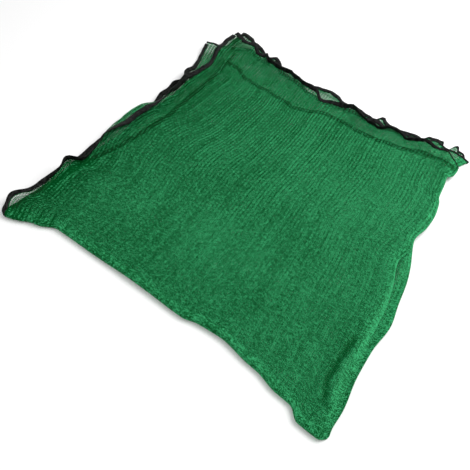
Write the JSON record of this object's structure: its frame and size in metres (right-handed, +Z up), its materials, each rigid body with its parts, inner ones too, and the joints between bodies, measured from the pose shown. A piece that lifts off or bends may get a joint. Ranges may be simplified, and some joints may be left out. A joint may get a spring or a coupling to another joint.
{
  "type": "folded shade sail",
  "caption": "Square of knitted shade net with tape-bound edges, folded in quarters and laid flat, its cut edges ruffled.",
  "frame": {"origin": "centre of the folded net's bounding box, at its underside, on the surface that it lies on", "axes": "+Z up out of the surface; +Y from the folded corner at the net's middle towards the four cut corners; +X across, towards the corner on the first fold"},
  "size_m": [1.2616, 1.4452, 0.0559],
  "materials": {
    "net": "green raschel-knitted plastic shade net, ribbed, slightly shiny, open enough to see through one layer",
    "tape": "black woven plastic binding tape, matt"
  },
  "bodies": {
    "root": {"net": "net", "binding_left_top": "tape", "binding_left_low": "tape", "binding_right_top": "tape", "binding_right_low": "tape"}
  },
  "joints": []
}
